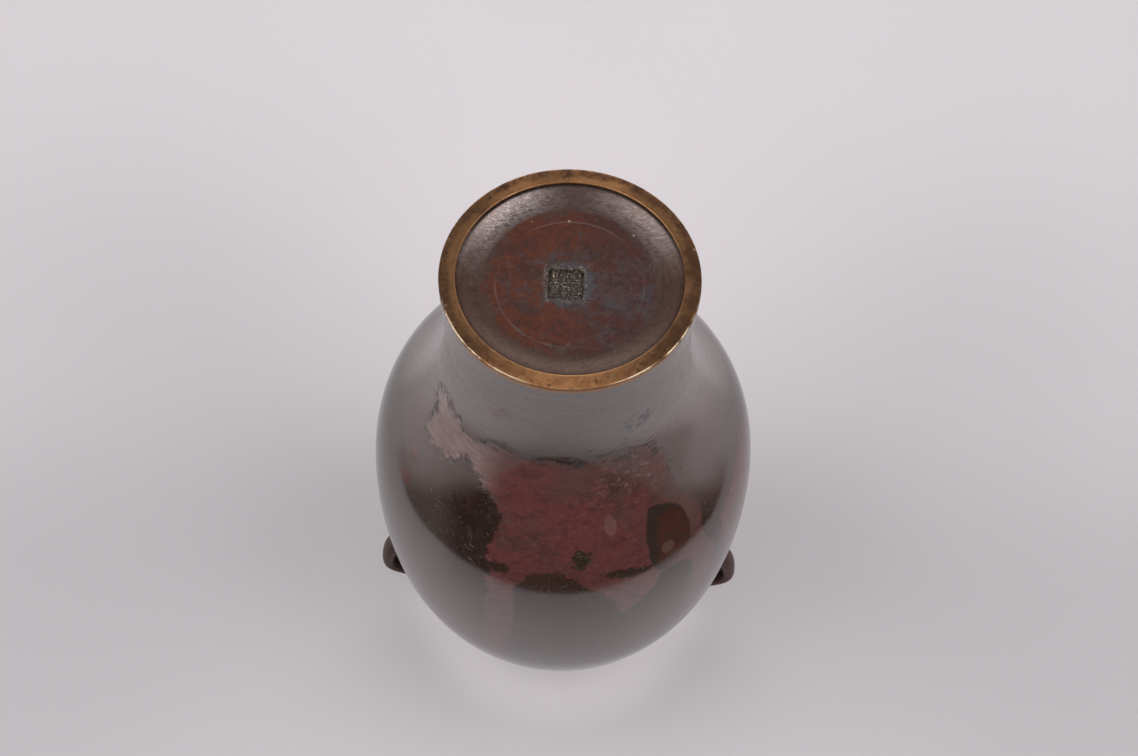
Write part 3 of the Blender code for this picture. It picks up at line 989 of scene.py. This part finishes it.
    dots = f.cells(240.0, vector=f.stretched((1.0, 1.0, 1.6)))
    dot = (1.0 - f.ramp(dots["Distance"], 0.06, 0.15)) * f.ramp(dots["Color"], 0.76, 0.8)
    f.paint(dot * 0.75, (0.022, 0.018, 0.017))
    bare = 1.0 - film
    lint = f.cells(170.0)
    bit = 1.0 - f.ramp(lint["Distance"], 0.025, 0.055)
    bit = bit * f.ramp(lint["Color"], 0.74, 0.77) * bare
    hair_place = f.ramp(f.noise(120.0, 1.0), 0.57, 0.61) * (1.0 - red)
    hairs = f.hairs(85.0, 0.005, 1.6) * (hair_place * bare)
    f.paint(hairs * 0.42, (0.26, 0.23, 0.21))
    dust = f.ramp(f.noise(900.0, 2.0), 0.6, 0.72) * bare * (1.0 - red)
    f.paint(dust * 0.42, (0.12, 0.105, 0.095))
    f.paint(bit * 0.9, (0.6, 0.44, 0.34))
    ears = f.ramp(f.attribute("ear"), 0.0004, 0.0022)
    brown_ears = f.mix(f.ramp(x, -0.02, 0.02), (0.092, 0.058, 0.045), (0.120, 0.062, 0.056))
    f.paint(ears * 0.9, brown_ears)

    foot_edge = f.ramp(z + wander * 0.3, HEIGHT - 0.0028, HEIGHT - 0.0014)
    worn = foot_edge * f.ramp(-y, 0.012, 0.03)
    f.paint(worn * 0.85, colours.brass)

    wiped = f.noise(70.0, 3.0, 0.6, 0.3, f.stretched((1.0, 1.0, 6.0)))
    rough = 0.12 + f.ramp(wiped, 0.3, 0.8) * 0.06 + film * 0.12 + red * 0.03 + crackle * 0.25 + ears * 0.3
    lathe = f.noise(8.0, 3.0, 0.6, 0.0, f.stretched((1.0, 1.0, 110.0)))
    height = -crackle + lathe * 0.06 + fine * 0.08 + hairs * 0.25 + dot * -0.5
    f.bump(height, 0.00012, 0.8)
    metal = f.larger(worn * 0.8, ears * 0.85)
    return f.done(rough, metal, 1.85)


def rubbed_brass(colours):
    """The foot ring's bare face: golden inside, brown and mottled outside, with nicks and fine scratches; its
    front is lighter gold partly from painted light, and its outer edge has a painted highlight.
    """
    f = Finish("rubbed_brass")
    x, y, _ = f.axes()
    across = f.radius() - 0.0348
    soft = f.noise(150.0, 5.0, 0.6)
    fine = f.noise(700.0, 5.0, 0.65)
    broad = f.noise(52.0, 3.0, 0.6)
    edge = across + (soft - 0.5) * 0.005 + (broad - 0.5) * 0.005
    outer = f.ramp(edge, 0.0012, 0.0034)
    # The ring's front, and a little its back, is lighter gold: partly wear, and at the front partly painted
    # light, standing for a face that wear has tilted towards the light.
    front = f.ramp(-y + (broad - 0.5) * 0.03, 0.026, 0.038)
    far = f.ramp(y, 0.024, 0.037)
    blotch = f.ramp(f.noise(240.0, 6.0, 0.68, 0.5), 0.40, 0.60)
    brown = outer * (0.35 + blotch * 0.65) * (1.0 - front * 0.97)
    bright = f.larger(front, far * 0.8)
    worn = f.mix(bright, colours.brass, (0.740, 0.355, 0.150))
    stains = f.larger(f.ramp(broad, 0.46, 0.6), blotch * 0.55) * (0.66 - bright * 0.4)
    worn = f.mix(stains, worn, colours.brass_brown)
    f.base = f.mix(brown, worn, colours.brass_brown)
    dirt = f.ramp(fine, 0.52, 0.66) * (0.25 + outer * 0.4)
    f.paint(dirt, (0.1, 0.05, 0.026))
    chip = f.cells(170.0)
    nick = (1.0 - f.ramp(chip["Distance"], 0.04, 0.1)) * f.ramp(chip["Color"], 0.74, 0.77)
    f.paint(nick, (0.85, 0.66, 0.5))
    scratches = f.hairs(150.0, 0.012, 2.0) * f.ramp(soft, 0.5, 0.6)
    f.paint(scratches * 0.4, (0.8, 0.56, 0.32))
    # Painted highlight: a near-white line on the ring's outer rounded edge, at its front left and front
    # right.
    painted_edge_highlight = f.ramp(across, 0.0045, 0.005) * f.ramp(soft, 0.44, 0.56)
    sides = f.ramp(abs(x - 0.002), 0.01, 0.018)
    painted_edge_highlight = painted_edge_highlight * (0.15 + sides * 0.8) * f.ramp(-y, 0.004, 0.02)
    f.paint(painted_edge_highlight, (0.95, 0.74, 0.52))
    rough = 0.3 + blotch * 0.14
    height = blotch * -0.3 + fine * 0.4 - nick
    f.bump(height, 0.00008, 0.7)
    return f.done(rough, 0.85)


def sunk_base(colours, seal_offset):
    """The base inside the ring: turned and brushed, mottled red-brown and blue-grey round the seal, with
    painted highlights and a painted lighter front in its cove and painted shade under the ring at the back.
    """
    f = Finish("sunk_base_patina")
    x, y, _ = f.axes()
    radius = f.radius()
    soft = f.noise(110.0, 6.0, 0.68, 0.6)
    fine = f.noise(620.0, 6.0, 0.7)
    joined = f.node("CombineXYZ", {"X": x / radius * 0.012, "Y": y / radius * 0.012, "Z": radius * 5.0})
    rings = f.noise(240.0, 5.0, 0.65, 0.0, joined[0])
    turned = rings - 0.5
    uneven = soft - 0.5 + turned * 0.7
    middle = radius + uneven * 0.012
    middle = 1.0 - f.ramp(middle, 0.024, 0.0285)
    grainy = f.noise(105.0, 10.0, 0.76, 0.5) + turned * 0.4 + (fine - 0.5) * 0.5
    lower_left = -x - y * 0.4
    grainy = grainy + lower_left * 1.6
    upper = f.ramp(y, 0.010, 0.018)
    grainy = grainy + upper * 0.12
    reach = radius + uneven * 0.018
    reach = 1.0 - f.ramp(reach, 0.0246, 0.0284)
    middle = f.larger(middle, upper * reach)
    near_seal = 1.0 - f.ramp(radius, 0.006, 0.011)
    red = grainy - near_seal * 0.12
    red = middle * f.ramp(red, 0.44, 0.52)
    patches = f.noise(90.0, 5.0, 0.66, 0.5)
    patches = patches - upper * 0.1
    blue = f.ramp(patches + near_seal * 0.13, 0.54, 0.64)
    f.base = f.mix(middle, colours.base, colours.base_purple)
    f.paint(red * 0.9, f.mix(f.ramp(x, -0.004, 0.016), colours.base_red, colours.base_maroon))
    scorch = f.ramp(f.noise(140.0, 7.0, 0.72, 0.6), 0.48, 0.60)
    f.paint(scorch * middle * 0.6, (0.04, 0.019, 0.015))
    blue = blue * middle * (0.48 + near_seal * 0.45)
    f.paint(blue, colours.base_blue)
    rust = f.ramp(f.noise(480.0, 6.0, 0.75, 0.4), 0.56, 0.70)
    f.paint(rust * middle * 0.7, (0.15, 0.052, 0.026))
    f.paint(f.ramp(fine, 0.5, 0.64) * 0.6, (0.028, 0.02, 0.018))

    circle = abs(radius - 0.0228)
    circle = (1.0 - f.ramp(circle, 8e-05, 0.00045)) * f.ramp(f.noise(45.0, 3.0), 0.42, 0.58)
    f.paint(circle * 0.2, (0.2, 0.18, 0.17))
    light = f.cells(260.0)
    fleck = (1.0 - f.ramp(light["Distance"], 0.05, 0.13)) * f.ramp(light["Color"], 0.75, 0.78)
    f.paint(fleck * 0.75, (0.42, 0.34, 0.32))
    scratches = f.hairs(80.0, 0.007, 1.6) * f.ramp(f.noise(50.0, 1.0), 0.52, 0.58)
    f.paint(scratches * 0.25, (0.24, 0.22, 0.21))

    off_seal = f.larger(abs(x - seal_offset), abs(y))
    halo = off_seal + uneven * 0.003
    halo = 1.0 - f.ramp(halo, 0.0058, 0.0078)
    grit = f.ramp(f.noise(1500.0, 3.0, 0.7), 0.50, 0.62)
    f.paint(halo * 0.6, f.mix(grit, (0.048, 0.038, 0.037), (0.23, 0.2, 0.165)))

    cove = f.ramp(radius, 0.0262, 0.0290)
    brushed = f.noise(520.0, 5.0, 0.72, 0.0, f.stretched((1.0, 2.4, 1.0)))
    marks = f.ramp(brushed, 0.40, 0.62)
    # Painted highlight: paler, silvery, more metallic metal laid on the cove's back left and back right,
    # where the softboxes' highlights fall, weaker on the right.
    painted_cove_highlight = (0.22 + f.ramp(abs(x), 0.0, 0.018) * 0.78) * f.ramp(y + uneven * 0.02, -0.004, 0.024) * cove
    # The cove's brown is lighter at its front, which is painted light from behind the vase, and darker at its
    # back.
    back = f.ramp(y, 0.014, 0.024)
    near = f.ramp(-y, 0.012, 0.028)
    cove_brown_and_light = f.mix(near, f.mix(back, (0.098, 0.050, 0.037), (0.078, 0.036, 0.026)), (0.125, 0.074, 0.055))
    f.paint(cove * 0.85, cove_brown_and_light)
    f.paint(cove * f.ramp(fine, 0.48, 0.62) * 0.45, (0.036, 0.025, 0.02))
    painted_cove_highlight = painted_cove_highlight * (1.0 - f.ramp(x, 0.0, 0.012) * 0.38)
    f.paint(painted_cove_highlight, f.mix(marks, (0.225, 0.168, 0.15), (0.365, 0.315, 0.312)))
    metal = f.larger(painted_cove_highlight * 0.88, cove * 0.6)
    rough = 0.42 + turned * 0.25 - painted_cove_highlight * 0.17
    # Painted shade: a dark line in the cove just under the ring's inner edge, at the back only.
    painted_shade_under_ring = f.ramp(radius, 0.0341, 0.0345) * f.ramp(y, 0.004, 0.024)
    f.paint(painted_shade_under_ring * 0.85, (0.03, 0.02, 0.016))
    height = rings * 0.55 + fine * 0.45 + circle * -0.5 + marks * painted_cove_highlight * 0.35 + grit * halo * 0.7
    f.bump(height, 0.00012, 0.8)
    return f.done(rough, metal, 1.38)


def seal_metal():
    """Granular metal in the seal: dark in its gaps and grey-gold on its grains."""
    f = Finish("seal_metal")
    _, _, z = f.axes()
    lift = f.ramp(z, HEIGHT - RECESS_DEPTH - 0.00090, HEIGHT - RECESS_DEPTH - 0.00035)
    grain = f.ramp(f.noise(1500.0, 4.0, 0.7), 0.42, 0.62)
    warm = f.ramp(f.noise(300.0, 2.0), 0.40, 0.60)
    f.base = f.mix(lift, (0.03, 0.023, 0.019), f.mix(warm, (0.215, 0.178, 0.16), (0.285, 0.2, 0.135)))
    f.paint(1.0 - grain, (0.04, 0.031, 0.026))
    sparkle = f.ramp(f.noise(2100.0, 2.0, 0.6), 0.56, 0.64) * (0.25 + lift)
    f.paint(sparkle, (0.8, 0.66, 0.5))
    f.bump(grain, 0.00012, 0.9)
    return f.done(0.42, 0.45)


def hollow_bronze():
    """The dull oxidised inside of the vessel."""
    f = Finish("hollow_bronze")
    soft = f.noise(60.0, 5.0, 0.6)
    f.base = f.mix(f.ramp(soft, 0.35, 0.65), (0.05, 0.034, 0.024), (0.085, 0.07, 0.046))
    green = f.ramp(f.noise(210.0, 5.0, 0.65), 0.60, 0.70)
    f.paint(green * 0.5, (0.075, 0.11, 0.085))
    f.bump(f.noise(300.0, 6.0, 0.65), 0.0003, 0.7)
    return f.done(0.62, 0.35)


class VASE_OT_casting(bpy.types.Operator):
    """Casts the vase with its ears and seal, and patinates it"""

    bl_idname = "vase.casting"
    bl_label = "Cast the Vase"

    def execute(self, context):
        sizes = context.scene.vase_sizes
        colours = context.scene.vase_colours
        body = patina(colours)
        seal = seal_metal()
        materials = (sunk_base(colours, sizes.seal_offset), rubbed_brass(colours), body, hollow_bronze())
        foot, ring_starts, flare_starts = foot_curve(sizes)
        outside = body_curve(sizes)
        lip = lip_curve()
        profile = foot + outside[1:] + lip + hollow_curve(outside, sizes)
        hollow_starts = len(foot) + len(outside) - 1 + len(lip) - LIP_STEPS[1]
        mesh = turned_mesh(profile, (ring_starts, flare_starts, hollow_starts), sizes, materials)
        vase = new_object("vase_casting", mesh)
        outer_line = outside + lip[:LIP_STEPS[0]]
        tools = [
            (new_object("ear_left", ear_mesh("ear_left", -1, outside, outer_line, sizes, body)), "UNION"),
            (new_object("ear_right", ear_mesh("ear_right", 1, outside, outer_line, sizes, body)), "UNION"),
            (new_object("seal_cutter", seal_cutter(sizes, seal)), "DIFFERENCE"),
        ]
        for tool, operation in tools:
            modifier = vase.modifiers.new(tool.name, "BOOLEAN")
            modifier.operation = operation
            modifier.object = tool
            modifier.material_mode = "TRANSFER"
        whole = plain_mesh(vase, "vase_casting")
        drop_empty_slots(whole)
        vase.modifiers.clear()
        vase.data = whole
        for tool, _ in tools:
            bpy.data.objects.remove(tool)
        whole.shade_smooth()
        whole.set_sharp_from_angle(angle=SHARP_ANGLE)
        mark_patches(whole, outer_line)
        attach(vase, "root")
        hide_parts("vase")
        return {"FINISHED"}


def stage_plane(name, corners, z, material):
    """A flat sheet of the studio from its corners."""
    mesh = bpy.data.meshes.new(name)
    mesh.from_pydata([(x, y, z) for x, y in corners], [], [tuple(range(len(corners)))])
    mesh.materials.append(material)
    obj = new_object(name, mesh)
    return obj


def only_reflected(obj):
    """Makes a flag show in reflections alone."""
    obj.visible_camera = obj.visible_shadow = obj.visible_transmission = obj.visible_diffuse = False


def floor_material(settings):
    """Pale paper with painted light and shade: its tone falls softly towards the front and the sides, and
    rises round the vase's mouth.
    """
    f = Finish("studio_floor")
    x, y, _ = f.axes()
    # Painted light and shade: the tone falls towards the front and towards the two sides, standing for the
    # lamps' falloff and the soft shadows beside the vase.
    tone = 0.6 + f.ramp(y, -0.26, -0.12) * 0.12 + f.ramp(y, 0.0, 0.1) * 0.115
    aside = f.ramp(abs(x), 0.04, 0.2) * (1.0 - f.ramp(y, 0.08, 0.25))
    tone = tone - aside * 0.11
    # Painted light: the floor is lighter round the vase's mouth, under the belly, where the belly would shade
    # it.
    painted_light_round_mouth = 1.0 - f.ramp(f.radius(), 0.036, 0.062)
    tone = tone + painted_light_round_mouth * 0.28
    cloud = f.ramp(f.noise(6.0, 3.0), 0.3, 0.7)
    tone = tone - cloud * 0.01
    f.base = f.mix(tone, (0.0, 0.0, 0.0), settings.floor)
    return f.done(0.85, 0.0)


def flag_material():
    f = Finish("black_flag")
    f.base = (0.03, 0.022, 0.020)
    return f.done(1.0, 0.0)


def soft_light(name, place, size, power):
    """A soft light of a width and height that faces the vase's foot."""
    light = bpy.data.lights.new(name, "AREA")
    light.shape = "ELLIPSE"
    light.size, light.size_y = size
    light.energy = power
    light.color = (1.0, 0.985, 0.99)
    lamp = bpy.data.objects.new(name, light)
    bpy.context.scene.collection.objects.link(lamp)
    lamp.location = place
    lamp.rotation_euler = (Vector(LIGHT_TARGET) - lamp.location).to_track_quat("-Z", "Y").to_euler()
    return lamp


class VASE_OT_studio(bpy.types.Operator):
    """Lays the floor and sets the soft lights, the flags and the camera"""

    bl_idname = "vase.studio"
    bl_label = "Set the Studio"

    def execute(self, context):
        settings = context.scene.vase_studio
        corners = [(x * FLOOR_REACH, y * FLOOR_REACH) for x, y in ((-1, -1), (1, -1), (1, 1), (-1, 1))]
        stage_plane("floor", corners, 0.0, floor_material(settings))
        flag = flag_material()
        only_reflected(stage_plane("lying_flag", FLAG_EDGE, FLAG_LIFT, flag))

        mesh = bpy.data.meshes.new("standing_flag")
        points, faces = [], []
        for i in range(FLAG_STEPS + 1):
            angle = -FLAG_SPREAD + 2 * FLAG_SPREAD * i / FLAG_STEPS
            for height in (0.0, FLAG_HEIGHT):
                points.append((FLAG_REACH * math.sin(angle), -FLAG_REACH * math.cos(angle), height))
            if i:
                faces.append((2 * i - 2, 2 * i, 2 * i + 1, 2 * i - 1))
        mesh.from_pydata(points, [], faces)
        mesh.materials.append(flag)
        standing = new_object("standing_flag", mesh)
        only_reflected(standing)

        world = bpy.data.worlds.new("studio_air")
        context.scene.world = world
        world.use_nodes = True
        tree = world.node_tree
        place = tree.nodes.new("ShaderNodeTexCoord")
        split = tree.nodes.new("ShaderNodeSeparateXYZ")
        blend = tree.nodes.new("ShaderNodeMapRange")
        tree.links.new(place.outputs["Generated"], split.inputs[0])
        tree.links.new(split.outputs["Z"], blend.inputs["Value"])
        spans = {"From Min": 0.05, "From Max": 0.85, "To Min": settings.sky, "To Max": settings.zenith}
        for key, value in spans.items():
            blend.inputs[key].default_value = value
        background = tree.nodes["Background"]
        background.inputs["Color"].default_value = (1.0, 0.975, 0.99, 1.0)
        tree.links.new(blend.outputs["Result"], background.inputs["Strength"])

        for side, name in ((-1, "left"), (1, "right")):
            soft_light(f"softbox_{name}", (0.64 * side, -0.12, 0.97), (0.85, 0.85), settings.key)
            fill = soft_light(f"fill_{name}", (0.80 * side, -0.80, 0.70), (0.8, 0.8), settings.fill)
            fill.visible_glossy = False
        soft_light("softbox_back", (0.0, 0.95, 0.62), (1.6, 0.5), settings.back)

        view = bpy.data.cameras.new("camera")
        view.sensor_width = 36.0
        view.lens = CAMERA_LENS
        view.clip_start = 0.01
        view.clip_end = 50.0
        camera = bpy.data.objects.new("camera", view)
        context.scene.collection.objects.link(camera)
        camera.location = (CAMERA_PLACE[0], CAMERA_PLACE[1], HEIGHT + CAMERA_PLACE[2])
        camera.rotation_euler = [math.radians(a) for a in CAMERA_TURN]
        context.scene.camera = camera
        context.scene.view_settings.view_transform = "Standard"
        return {"FINISHED"}


class VASE_PT_panel(bpy.types.Panel):
    """Lists the vase's sizes, colours and steps"""

    bl_label = "Bronze Vase"
    bl_idname = "VASE_PT_panel"
    bl_space_type = "VIEW_3D"
    bl_region_type = "UI"
    bl_category = "Vase"

    def draw(self, context):
        layout = self.layout
        for group in (context.scene.vase_sizes, context.scene.vase_colours, context.scene.vase_studio):
            box = layout.box()
            for name in group.__annotations__:
                box.prop(group, name)
        layout.operator(VASE_OT_casting.bl_idname)
        layout.operator(VASE_OT_studio.bl_idname)


CLASSES = (VesselSizes, PatinaColours, StudioSettings, VASE_OT_casting, VASE_OT_studio, VASE_PT_panel)


def register():
    for cls in CLASSES:
        bpy.utils.register_class(cls)
    bpy.types.Scene.vase_sizes = PointerProperty(type=VesselSizes)
    bpy.types.Scene.vase_colours = PointerProperty(type=PatinaColours)
    bpy.types.Scene.vase_studio = PointerProperty(type=StudioSettings)


def unregister():
    del bpy.types.Scene.vase_studio
    del bpy.types.Scene.vase_colours
    del bpy.types.Scene.vase_sizes
    for cls in reversed(CLASSES):
        bpy.utils.unregister_class(cls)


def main():
    register()
    bpy.ops.vase.casting()
    bpy.ops.vase.studio()


if __name__ == "__main__":
    main()
